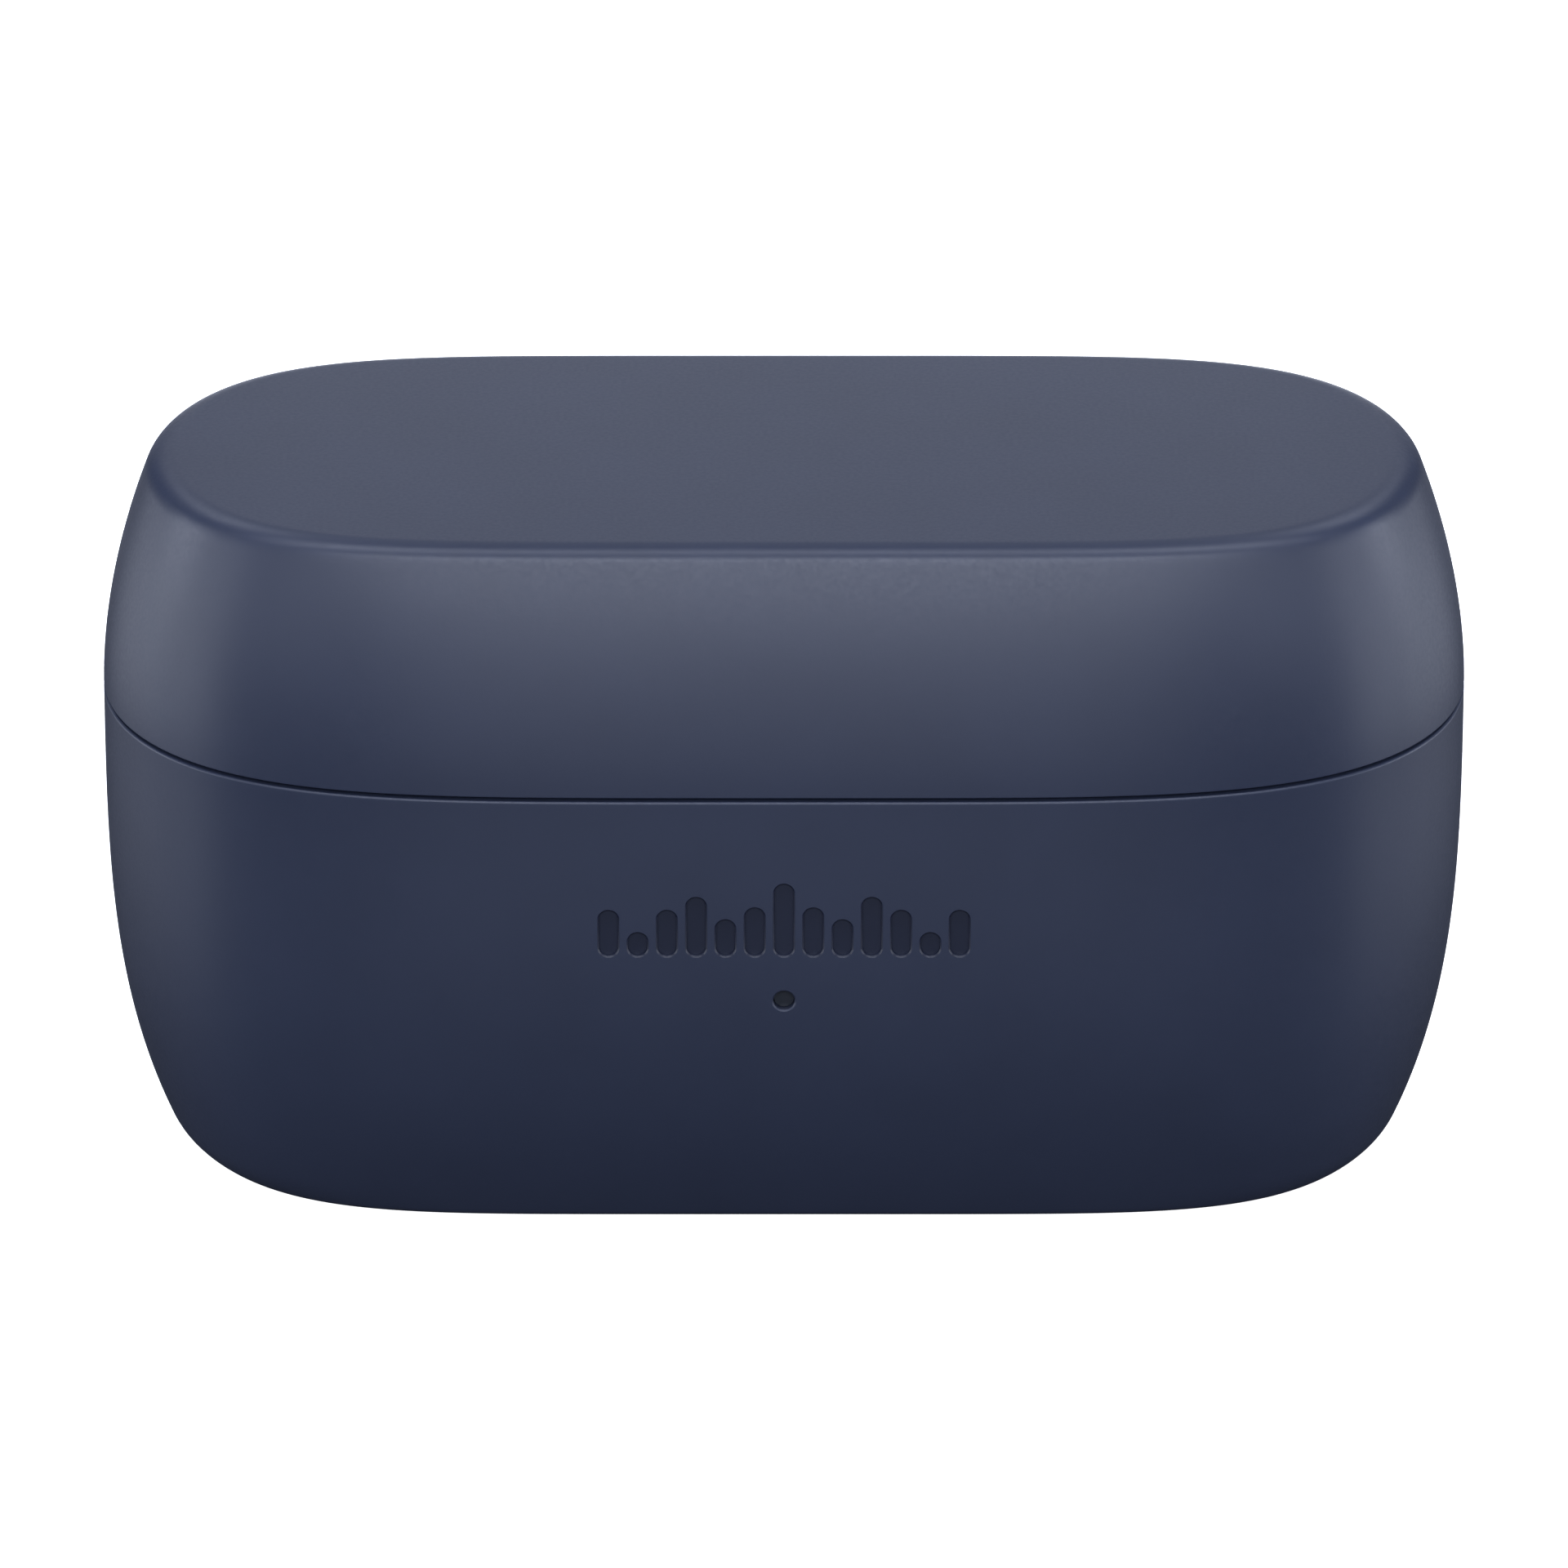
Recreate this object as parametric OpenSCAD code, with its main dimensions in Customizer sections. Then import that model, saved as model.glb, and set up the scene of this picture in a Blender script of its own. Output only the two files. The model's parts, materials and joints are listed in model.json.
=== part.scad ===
// Charging case for a pair of wireless earbuds.
// X is the width, -Y the front, +Y the rear with the hinge and the charging port, Z is up.
// The origin is the centre of the flat bottom face. Every size is in millimetres.

/* [Case] */
// Width of the closed case
case_w = 64.15; // [62:0.05:68]
// Depth of the closed case
case_d = 28.85; // [28.5:0.05:31]
// Height of the closed case
case_h = 34.6; // [34:0.05:37]
// Height of the parting line between base and lid
seam_z = 23; // [22.8:0.1:24]
// Open gap along the parting line
seam_gap = 0.2; // [0.1:0.05:0.4]
// Wall thickness of both outer shells
wall = 1.4; // [1.2:0.1:1.5]
// Thickness of the floor of the base
floor_t = 1.6; // [1.4:0.1:1.6]

/* [Curved ends] */
// How far the lid's ends lean in by the time they reach the top edge
lid_end_lean = 2.51; // [2.3:0.05:2.8]
// Power of the curve of the lid's ends
lid_end_power = 1.87; // [1.6:0.05:2.2]
// Height of the rounded top edge at the ends
top_end_edge = 1.05; // [0.8:0.05:1.3]
// How far the base's ends lean in by the time they reach the bottom edge
base_end_lean = 3.43; // [3:0.05:3.6]
// Power of the curve of the base's ends
base_end_power = 3.39; // [3:0.05:4]
// Height of the rounded bottom edge at the ends
bottom_end_edge = 1.7; // [1.3:0.05:2]

/* [Curved front and rear] */
// How far the lid's front and rear lean in by the time they reach the top edge
lid_front_lean = 2.69; // [2.3:0.05:3]
// Power of the curve of the lid's front and rear
lid_front_power = 2.01; // [1.6:0.05:2.4]
// Height of the rounded top edge at the front and rear
top_front_edge = 0.6; // [0.4:0.05:0.9]
// How far the base's front and rear lean in by the time they reach the bottom edge
base_front_lean = 3.23; // [2.8:0.05:3.5]
// Power of the curve of the base's front and rear
base_front_power = 3.42; // [3:0.05:4]
// Height of the rounded bottom edge at the front and rear
bottom_front_edge = 0.4; // [0.3:0.05:0.7]

/* [Earbud pockets] */
// Distance of a pocket's centre from the middle of the case
pocket_x = 17.2; // [17:0.1:17.5]
// Half width and half depth of a pocket's mouth
pocket_mouth = [11.6, 9.8];
// Half width and half depth of a pocket's floor
pocket_base = [6.5, 5.5];
// Height of a pocket's floor in the base
pocket_z = 11.3; // [11.3:0.1:11.6]
// Height of the roof of the lid's recess
recess_z = 32; // [31:0.1:32]
// Thickness of the pocket walls
skin = 0.9; // [0.7:0.1:0.9]

/* [Hinge] */
// How far the lid opens, in degrees
lid_open = 100; // [90:1:104]
// Diameter of the hinge pin
pin_d = 0.8; // [0.7:0.05:0.9]
// Diameter of the hinge knuckles
knuckle_d = 1.9; // [1.8:0.05:2]
// Width of the lid's middle knuckle
lid_knuckle_w = 16; // [12:0.5:16]
// Width of each of the base's outer knuckles
base_knuckle_w = 4.5; // [3:0.5:5]

/* [Charging contacts] */
// Travel of a spring contact
contact_travel = 0.8; // [0.5:0.1:0.9]
// Distance between the two contacts of a pocket
contact_pitch = 3.2; // [2.8:0.1:3.6]

/* [Hidden] */
$fn = 48;
SIDES = ["left", "right"];

// Colours
NAVY = [0.16, 0.18, 0.29];
NAVY_DARK = [0.1, 0.11, 0.18];
BOARD_GREEN = [0.05, 0.3, 0.2];
STEEL = [0.75, 0.76, 0.78];
GOLD = [0.85, 0.66, 0.3];
CHIP = [0.08, 0.08, 0.09];
CLEAR = [0.85, 0.87, 0.9];

// The plan is a flattened oval, |x/a|^p + |y/b|^q = 1, with p at the seam, the top and the bottom.
P_SEAM = 4.73;
P_TOP = 5.88;
P_BOTTOM = 6.25;
Q = 2;
PLAN_POINTS = 72;
INNER_POINTS = 48;
POCKET_POINTS = 24;
POCKET_P = 2.6;

// Each half as [height, curve of the ends, curve of the front and rear]; a curve is [lean, power, edge].
UPPER = [
    case_h - seam_z,
    [lid_end_lean, lid_end_power, top_end_edge],
    [lid_front_lean, lid_front_power, top_front_edge]
];
LOWER = [
    seam_z,
    [base_end_lean, base_end_power, bottom_end_edge],
    [base_front_lean, base_front_power, bottom_front_edge]
];
lid_z = seam_z + seam_gap / 2;
rim_z = seam_z - seam_gap / 2;

// Trim plates that close the halves around the pockets
plate_t = 1.1;
plate_clear = 0.15;
tray_under_z = rim_z - plate_t;
liner_over_z = lid_z + plate_t;
tip_well_x = 8.6;
tip_well_y = 2.2;
tip_well_mouth = [4.6, 5.2];
tip_well_base = [2.2, 2.8];
tip_well_z = 15.5;
tip_recess_z = 28;

// Stack of the base: pad, battery, board
pad_t = 0.4;
cell = [34.4, 16, 4.4];
cell_z = floor_t + pad_t;
board = [45, 18.8, 0.8];
board_y = 0.2;
board_z = 7.2;
board_top = board_z + board[2];
board_screw_x = 20.5;
board_screw_y = 7.3;
boss_d = 3.4;
screw_d = 1.4;
head_d = 2.4;
head_h = 0.7;

// Charging port
usb = [8.94, 7.4, 3.26];
usb_wall = 0.3;
usb_z = board_top + usb[2] / 2;
usb_mouth_y = case_d / 2 - 0.9;
port_clear = 0.15;

// Status light
led_z = 12.66;
led_hole_d = 1;
led_y = -8.2;
pipe_tip_y = -case_d / 2 + 0.62;

// Spring contacts
contact_y = -0.3;
barrel_d = 1.8;
bore_d = 1.3;
lip_bore_d = 0.92;
lip_t = 0.3;
barrel_floor_t = 0.3;
barrel_top = pocket_z;
flange_d = 1.24;
flange_h = 0.8;
tip_d = 0.86;
tip_h = 1.4;
flange_top = barrel_top - lip_t;
spring_low = board_top + barrel_floor_t;
spring_high = flange_top - flange_h;
wire_d = 0.14;
spring_d = 0.98;
spring_turns = 5;
spring_steps = 10;

// Hinge
hinge_y = case_d / 2 - 1;
hinge_z = seam_z;
running_gap = 0.03;
knuckle_gap = 0.1;
sweep_gap = 0.2;
relief_angle = lid_open / 2 + 2;
relief_reach = 4;
knuckles_half_w = lid_knuckle_w / 2 + knuckle_gap + base_knuckle_w;
bracket_t = 0.9;
bracket_rear_gap = 1.4;
lid_bracket_y = 8.8;
lid_screw = [5.5, 10.2];
base_plate_z = tray_under_z - 1.4;
base_bracket_y = 10.2;
base_screw = [3.8, 9.9];
micro_screw_d = 1;
micro_head_d = 1.9;
micro_head_h = 0.5;

// Magnets
closure_magnet = [7, 2.2, 1.8];
closure_y = 11.2;
bud_magnet = [2.8, 5, 1.5];
bud_magnet_x = 11.4;
sensor_y = -3;
sensor_magnet_d = 3;
sensor_magnet_h = 1.2;

// Leads of the battery
lead_d = 0.7;
lead_pitch = 1.1;
lead_y = 2.5;
LEAD_ROUTE = [[18.6, 4.6], [20.4, 4.8], [22.2, 5.4], [23.6, 6.4], [24.3, 7.6], [24, 8.5], [23.2, 8.8], [22.5, 8.8]];

function signed_power(v, e) = sign(v) * pow(abs(v), e);

// One point of a flattened oval, t degrees round from +X
function oval_point(a, b, p, q, t) = [a * signed_power(cos(t), 2 / p), b * signed_power(sin(t), 2 / q)];

// Lean of a curve at a height u away from the seam, in a half of height h
function wall_lean(h, curve, u) = curve[0] * pow(max(u, 0) / h, curve[1]);

// The same, with the rounded edge that ends it
function rounded_lean(h, curve, u) =
    let (u1 = h - curve[2])
    let (start = atan(curve[0] * curve[1] * pow(u1 / h, curve[1] - 1) / h))
    let (r = curve[2] / (1 - sin(start)))
    let (reach = sqrt(max(0, pow(r, 2) - pow(u - u1 + r * sin(start), 2))))
    u <= u1 ? wall_lean(h, curve, u) : wall_lean(h, curve, u1) + r * cos(start) - reach;

// Plan exponent at a height u of a half
function plan_power(half, u, p_end) = P_SEAM + (p_end - P_SEAM) * pow(u / half[0], 2);

// Heights from the seam down the wall, then close together round the edge
function outer_levels(half) =
    let (u0 = seam_gap / 2, edge = max(half[1][2], half[2][2]))
    concat(
        [for (i = [0:9]) u0 + (half[0] - edge - u0) * sin(10 * i)],
        [for (i = [1:7]) half[0] - edge * pow(1 - i / 7, 2)]
    );

// A ring is [z, a, b, p, q]. side is 1 for the lid and -1 for the base.
function outer_rings(half, side, p_end) = [
    for (u = outer_levels(half)) [
        seam_z + side * u,
        case_w / 2 - rounded_lean(half[0], half[1], u),
        case_d / 2 - rounded_lean(half[0], half[2], u),
        plan_power(half, u, p_end),
        Q
    ]
];

// Ring moved inwards by inset
function inner_ring(half, side, p_end, u, inset) = [
    seam_z + side * u,
    case_w / 2 - wall_lean(half[0], half[1], u) - inset,
    case_d / 2 - wall_lean(half[0], half[2], u) - inset,
    plan_power(half, u, p_end),
    Q
];

// Rings of the space inside a shell, from past the seam to the height u_end
function inner_rings(half, side, p_end, u_end, inset) = [
    for (u = concat([-1], [for (i = [0:5]) u_end * sin(18 * i)]))
        inner_ring(half, side, p_end, u, inset)
];

// Rings of a round-bottomed pocket. rise is the signed height from its floor to its mouth.
function pocket_rings(mouth, base, floor_z, rise, grow) = [
    for (i = [0:4])
        let (t = 90 * i / 4)
        [
            floor_z - sign(rise) * grow + (rise + sign(rise) * grow) * (1 - cos(t)),
            base[0] + grow + (mouth[0] - base[0]) * sin(t),
            base[1] + grow + (mouth[1] - base[1]) * sin(t),
            POCKET_P,
            POCKET_P
        ]
];

// Closed solid through a list of rings, whichever way they run
module loft(rings, points) {
    up = rings[0][0] < rings[len(rings) - 1][0];
    stack = up ? rings : [for (i = [len(rings) - 1:-1:0]) rings[i]];
    last = len(stack) - 1;
    verts = [
        for (r = stack)
            for (i = [0:points - 1])
                let (xy = oval_point(r[1], r[2], r[3], r[4], 360 * i / points))
                [xy[0], xy[1], r[0]]
    ];
    sides = [
        for (k = [0:last - 1])
            for (i = [0:points - 1])
                let (j = (i + 1) % points, low = k * points, high = low + points)
                each [[low + i, high + i, high + j], [low + i, high + j, low + j]]
    ];
    bottom = [for (i = [0:points - 1]) i];
    top = [for (i = [points - 1:-1:0]) last * points + i];
    polyhedron(verts, concat([bottom, top], sides));
}

// Round tube along a path; ref is a direction the path never runs along
module tube(path, d, sides, ref) {
    last = len(path) - 1;
    function unit(v) = v / norm(v);
    verts = [
        for (k = [0:last])
            let (along = unit(path[min(k + 1, last)] - path[max(k - 1, 0)]))
            let (out = unit(cross(along, ref)), up = cross(along, out))
            for (i = [0:sides - 1])
                let (t = 360 * i / sides)
                path[k] + d / 2 * (cos(t) * out + sin(t) * up)
    ];
    skin_faces = [
        for (k = [0:last - 1])
            for (i = [0:sides - 1])
                let (j = (i + 1) % sides, a = k * sides, b = a + sides)
                each [[a + i, b + j, b + i], [a + i, a + j, b + j]]
    ];
    start = [for (i = [sides - 1:-1:0]) i];
    end = [for (i = [0:sides - 1]) last * sides + i];
    polyhedron(verts, concat([start, end], skin_faces));
}

// Box given by its low and high corners
module span(low, high) {
    translate(low) cube(high - low);
}

// Cylinder along X, centred at x
module x_rod(x, y, z, d, length) {
    translate([x, y, z]) rotate([0, 90, 0]) cylinder(d = d, h = length, center = true);
}

// Cylinder along Y from y_low to y_high
module y_rod(x, z, d, y_low, y_high) {
    translate([x, y_high, z]) rotate([90, 0, 0]) cylinder(d = d, h = y_high - y_low);
}

// Flat oblong with round ends, standing across Y
module y_slot(size, z, y_low, y_high) {
    middle = size[0] / 2 - size[1] / 2;
    for (side = [-1, 1]) y_rod(side * middle, z, size[1], y_low, y_high);
    span([-middle, y_low, z - size[1] / 2], [middle, y_high, z + size[1] / 2]);
}

function side_sign(side) = side == "left" ? -1 : 1;

// ---- outer shells ----

// Wedge that frees the rear walls round the hinge line; way is 1 above the seam, -1 below
module hinge_relief(way) {
    spread = relief_reach * tan(relief_angle);
    translate([0, hinge_y, hinge_z])
        rotate([90, 0, 90])
            linear_extrude(case_w, center = true)
                polygon([[0, 0], [relief_reach, -way * 0.5], [relief_reach, way * spread]]);
}

module knuckle_room() {
    x_rod(0, hinge_y, hinge_z, knuckle_d + 2 * sweep_gap, 2 * (knuckles_half_w + knuckle_gap));
}

module board_bosses() {
    for (x = [-1, 1])
        for (y = [-1, 1])
            translate([x * board_screw_x, y * board_screw_y + board_y, floor_t - 0.2])
                cylinder(d = boss_d, h = board_z - floor_t + 0.2);
}

module base_shell() {
    half_w = knuckles_half_w + knuckle_gap;
    color(NAVY) difference() {
        union() {
            difference() {
                loft(outer_rings(LOWER, -1, P_BOTTOM), PLAN_POINTS);
                loft(inner_rings(LOWER, -1, P_BOTTOM, seam_z - floor_t, wall), INNER_POINTS);
            }
            board_bosses();
        }
        hinge_relief(-1);
        knuckle_room();
        span([-half_w, hinge_y - 2.5, base_plate_z - 0.1], [half_w, hinge_y + 0.05, seam_z]);
        y_slot([usb[0] + 2 * port_clear, usb[2] + 2 * port_clear], usb_z, 5, case_d);
        y_rod(0, led_z, led_hole_d, -case_d, -8);
        for (x = [-1, 1])
            for (y = [-1, 1])
                translate([x * board_screw_x, y * board_screw_y + board_y, board_z - 3.5])
                    cylinder(d = screw_d, h = 5);
    }
}

module lid_shell() {
    half_w = knuckles_half_w + knuckle_gap;
    arm_w = lid_knuckle_w / 2 + knuckle_gap;
    color(NAVY) difference() {
        loft(outer_rings(UPPER, 1, P_TOP), PLAN_POINTS);
        loft(inner_rings(UPPER, 1, P_TOP, case_h - wall - seam_z, wall), INNER_POINTS);
        hinge_relief(1);
        knuckle_room();
        span([-arm_w, hinge_y - 2.5, seam_z], [arm_w, hinge_y + 0.05, liner_over_z + bracket_t + 0.1]);
    }
}

// ---- earbud pockets ----

// Both cavities of one pocket; grow makes the outside of its wall
module pocket(side, floor_z, tip_z, mouth_z, grow) {
    x = side_sign(side);
    translate([x * pocket_x, contact_y, 0])
        loft(pocket_rings(pocket_mouth, pocket_base, floor_z, mouth_z - floor_z, grow), POCKET_POINTS);
    translate([x * tip_well_x, tip_well_y, 0])
        loft(pocket_rings(tip_well_mouth, tip_well_base, tip_z, mouth_z - tip_z, grow), POCKET_POINTS);
}

// Flat plate that fills the mouth of a shell
module trim_plate(half, side, p_end, low, high) {
    ring = inner_ring(half, side, p_end, 0, wall + plate_clear);
    loft([concat([low], [for (i = [1:4]) ring[i]]), concat([high], [for (i = [1:4]) ring[i]])], INNER_POINTS);
}

module hinge_cutout() {
    half_w = knuckles_half_w + knuckle_gap;
    span([-half_w, hinge_y - bracket_rear_gap, 0], [half_w, case_d, case_h]);
}

module cradle_tray() {
    over = 0.5;
    color(NAVY_DARK) difference() {
        union() {
            trim_plate(LOWER, -1, P_BOTTOM, tray_under_z, rim_z);
            for (side = SIDES) pocket(side, pocket_z, tip_well_z, rim_z, skin);
            for (x = [-1, 1])
                translate([x * base_screw[0], base_screw[1], base_plate_z + bracket_t])
                    cylinder(d = 2.4, h = tray_under_z - base_plate_z - bracket_t + 0.2);
        }
        for (side = SIDES) {
            pocket(side, pocket_z, tip_well_z, rim_z + over, 0);
            for (place = [-1, 1])
                translate([contact_x(side, place), contact_y, pocket_z - 2])
                    cylinder(d = barrel_d + 0.1, h = 3);
        }
        hinge_cutout();
        for (x = [-1, 1])
            translate([x * base_screw[0], base_screw[1], base_plate_z])
                cylinder(d = micro_screw_d, h = 2.1);
    }
}

module lid_liner() {
    over = 0.5;
    color(NAVY_DARK) difference() {
        union() {
            trim_plate(UPPER, 1, P_TOP, lid_z, liner_over_z);
            for (side = SIDES) pocket(side, recess_z, tip_recess_z, lid_z, skin);
        }
        for (side = SIDES) pocket(side, recess_z, tip_recess_z, lid_z - over, 0);
        hinge_cutout();
        for (x = [-1, 1])
            translate([x * lid_screw[0], lid_screw[1], liner_over_z - 0.8])
                cylinder(d = micro_screw_d, h = 2);
    }
}

// ---- hinge ----

module lid_hinge_bracket() {
    arm_w = lid_knuckle_w / 2;
    color(STEEL) difference() {
        union() {
            x_rod(0, hinge_y, hinge_z, knuckle_d, lid_knuckle_w);
            span([-arm_w, hinge_y - 1.2, hinge_z + 0.3], [arm_w, hinge_y, liner_over_z + bracket_t]);
            span([-arm_w + 0.3, lid_bracket_y, liner_over_z], [arm_w - 0.3, hinge_y, liner_over_z + bracket_t]);
        }
        x_rod(0, hinge_y, hinge_z, pin_d + 2 * running_gap, lid_knuckle_w + 1);
        for (x = [-1, 1])
            translate([x * lid_screw[0], lid_screw[1], liner_over_z - 1])
                cylinder(d = micro_screw_d, h = 4);
    }
}

module base_hinge_bracket() {
    middle = lid_knuckle_w / 2 + knuckle_gap + base_knuckle_w / 2;
    color(STEEL) difference() {
        union() {
            for (x = [-1, 1]) {
                x_rod(x * middle, hinge_y, hinge_z, knuckle_d, base_knuckle_w);
                translate([x * middle, 0, 0])
                    span([-base_knuckle_w / 2, hinge_y - 1.2, base_plate_z],
                         [base_knuckle_w / 2, hinge_y, hinge_z - 0.3]);
            }
            span([-knuckles_half_w, base_bracket_y, base_plate_z],
                 [knuckles_half_w, hinge_y - 1, base_plate_z + bracket_t]);
            span([-6, base_screw[1] - 1.5, base_plate_z], [6, hinge_y - 1, base_plate_z + bracket_t]);
        }
        x_rod(0, hinge_y, hinge_z, pin_d, 4 * knuckles_half_w);
        for (x = [-1, 1])
            translate([x * base_screw[0], base_screw[1], base_plate_z - 1])
                cylinder(d = micro_screw_d, h = 3);
    }
}

module hinge_pin() {
    color(STEEL) x_rod(0, hinge_y, hinge_z, pin_d, 2 * knuckles_half_w);
}

// Small screw with its head's underside at z, pointing along way (1 up, -1 down)
module screw(x, y, z, way, d, head, length) {
    translate([x, y, z]) mirror([0, 0, way > 0 ? 0 : 1]) {
        cylinder(d = d, h = length);
        translate([0, 0, -head[1]]) difference() {
            cylinder(d = head[0], h = head[1]);
            cylinder(d = head[0] * 0.45, h = head[1], center = true, $fn = 6);
        }
    }
}

module base_hinge_screws() {
    color(STEEL) for (x = [-1, 1])
        screw(x * base_screw[0], base_screw[1], base_plate_z, 1, micro_screw_d, [micro_head_d, micro_head_h], 2);
}

module lid_hinge_screws() {
    color(STEEL) for (x = [-1, 1])
        screw(x * lid_screw[0], lid_screw[1], liner_over_z + bracket_t, -1, micro_screw_d,
              [micro_head_d, micro_head_h], 1.6);
}

// ---- battery ----

module rounded_block(size, r) {
    linear_extrude(size[2]) {
        square([size[0] - 2 * r, size[1]], center = true);
        square([size[0], size[1] - 2 * r], center = true);
        for (x = [-1, 1])
            for (y = [-1, 1])
                translate([x * (size[0] / 2 - r), y * (size[1] / 2 - r)]) circle(r);
    }
}

module battery_pad() {
    color(CHIP) translate([0, 0, floor_t]) rounded_block([cell[0] - 4, cell[1] - 3, pad_t], 0.8);
}

module battery_cell() {
    color(STEEL) translate([0, 0, cell_z]) rounded_block(cell, 1.2);
}

module battery_board() {
    color(BOARD_GREEN) span([cell[0] / 2, -5, cell_z + 0.6], [cell[0] / 2 + 1, 5, cell_z + 3.6]);
}

// Lead number 0 or 1 from the battery to its plug
module battery_lead(number) {
    tube([for (p = LEAD_ROUTE) [p[0], lead_y + number * lead_pitch, p[1]]], lead_d, 8, [0, 1, 0]);
}

module battery_lead_positive() {
    color("crimson") battery_lead(0);
}

module battery_lead_negative() {
    color("black") battery_lead(1);
}

module battery_plug() {
    color("ivory") span([21.2, lead_y - 0.8, board_top + 0.25], [22.5, lead_y + lead_pitch + 0.8, board_top + 1.4]);
}

module battery_socket() {
    color("ivory") difference() {
        span([20.6, lead_y - 1.2, board_top], [22.4, lead_y + lead_pitch + 1.2, board_top + 1.2]);
        span([21.2, lead_y - 0.8, board_top + 0.25], [23, lead_y + lead_pitch + 0.8, board_top + 2]);
    }
}

// ---- main board ----

module main_board() {
    color(BOARD_GREEN) difference() {
        translate([0, board_y, board_z]) rounded_block(board, 1.5);
        for (x = [-1, 1])
            for (y = [-1, 1])
                translate([x * board_screw_x, y * board_screw_y + board_y, board_z - 1])
                    cylinder(d = screw_d + 0.2, h = 3);
    }
}

module board_screws() {
    color(STEEL) for (x = [-1, 1])
        for (y = [-1, 1])
            screw(x * board_screw_x, y * board_screw_y + board_y, board_top, -1, screw_d, [head_d, head_h], 3.4);
}

module usb_shell() {
    back_y = usb_mouth_y - usb[1];
    color(STEEL) difference() {
        y_slot([usb[0], usb[2]], usb_z, back_y, usb_mouth_y);
        y_slot([usb[0] - 2 * usb_wall, usb[2] - 2 * usb_wall], usb_z, back_y - 1, usb_mouth_y + 1);
    }
}

// Plastic rear block of the port with its contact tongue
module usb_insulator() {
    back_y = usb_mouth_y - usb[1];
    color(CHIP) {
        y_slot([usb[0] - 2 * usb_wall, usb[2] - 2 * usb_wall], usb_z, back_y, back_y + 1.6);
        span([-3.34, back_y + 1.5, usb_z - 0.35], [3.34, usb_mouth_y - 0.8, usb_z + 0.35]);
    }
}

module chip(x, y, size) {
    color(CHIP) translate([x, y, board_top]) linear_extrude(size[2]) square([size[0], size[1]], center = true);
}

module charger_chip() {
    chip(-7.6, -5, [3, 3, 0.8]);
}

module controller_chip() {
    chip(7.6, -5, [4, 4, 0.9]);
}

module power_inductor() {
    color("dimgray") translate([-7.6, 1, board_top]) rounded_block([3.2, 3.2, 1.3], 0.5);
}

module board_capacitors() {
    color("tan") for (i = [0:4])
        translate([-4 + 2 * i, -6.4, board_top]) linear_extrude(0.5) square([1, 0.5], center = true);
}

module status_led() {
    color("white") translate([0, led_y, board_top]) linear_extrude(0.6) square([1.6, 0.8], center = true);
}

module light_pipe() {
    inner_y = -case_d / 2 + wall + 0.4;
    color(CLEAR) {
        span([-0.8, led_y - 0.7, board_top + 0.75], [0.8, led_y + 0.7, led_z + 0.6]);
        span([-0.8, inner_y, led_z - 0.8], [0.8, led_y, led_z + 0.6]);
        span([-1.7, inner_y, led_z - 1.6], [1.7, inner_y + 0.6, led_z + 1.6]);
        y_rod(0, led_z, led_hole_d - 0.06, pipe_tip_y, inner_y + 0.2);
    }
}

module hall_flex() {
    strip_w = 2.4;
    strip_t = 0.15;
    color("peru") {
        span([-strip_w / 2, sensor_y, board_top], [strip_w / 2, sensor_y + strip_t, tray_under_z - 0.8]);
        span([-strip_w / 2, sensor_y - 2.6, tray_under_z - 0.95],
             [strip_w / 2, sensor_y + strip_t, tray_under_z - 0.8]);
    }
}

module hall_sensor() {
    color(CHIP) span([-0.8, sensor_y - 2.2, tray_under_z - 0.8], [0.8, sensor_y - 0.6, tray_under_z - 0.2]);
}

// ---- spring contacts ----

// place is -1 for the contact nearer the middle of the case and 1 for the outer one
function contact_x(side, place) = side_sign(side) * (pocket_x + place * contact_pitch / 2);

module at_contact(side, place) {
    translate([contact_x(side, place), contact_y, 0]) children();
}

module contact_block(side) {
    low = board_top;
    color(CHIP) difference() {
        translate([side_sign(side) * pocket_x, contact_y, low])
            rounded_block([contact_pitch + 3, 2.8, pocket_z - skin - low], 0.6);
        for (place = [-1, 1])
            at_contact(side, place) translate([0, 0, low - 1]) cylinder(d = barrel_d, h = 5);
    }
}

module contact_barrel(side, place) {
    color(GOLD) at_contact(side, place) rotate_extrude() {
        wall_t = (barrel_d - bore_d) / 2;
        translate([0, board_top]) square([barrel_d / 2, barrel_floor_t]);
        translate([bore_d / 2, board_top]) square([wall_t, barrel_top - board_top]);
        translate([lip_bore_d / 2, flange_top]) square([(barrel_d - lip_bore_d) / 2, lip_t]);
    }
}

module contact_plunger(side, place) {
    shoulder = flange_top + tip_h - tip_d / 2;
    color(GOLD) at_contact(side, place) {
        translate([0, 0, spring_high]) cylinder(d = flange_d, h = flange_h);
        translate([0, 0, spring_high]) cylinder(d = tip_d, h = shoulder - spring_high);
        translate([0, 0, shoulder]) sphere(d = tip_d);
    }
}

module contact_spring(side, place) {
    low = spring_low + wire_d / 2 + 0.01;
    rise = spring_high - spring_low - wire_d - 0.02;
    steps = spring_turns * spring_steps;
    r = (spring_d - wire_d) / 2;
    color(STEEL) at_contact(side, place)
        tube([for (i = [0:steps]) let (t = 360 * i / spring_steps) [r * cos(t), r * sin(t), low + rise * i / steps]],
             wire_d, 6, [0, 0, 1]);
}

// ---- magnets ----

module bud_magnet_at(side) {
    color(STEEL) translate([side_sign(side) * bud_magnet_x, contact_y, pocket_z - skin - bud_magnet[2]])
        rounded_block(bud_magnet, 0.3);
}

module base_closure_magnet() {
    color(STEEL) translate([0, -closure_y, tray_under_z - closure_magnet[2]]) rounded_block(closure_magnet, 0.3);
}

module lid_closure_magnet() {
    color(STEEL) translate([0, -closure_y, liner_over_z]) rounded_block(closure_magnet, 0.3);
}

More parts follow.
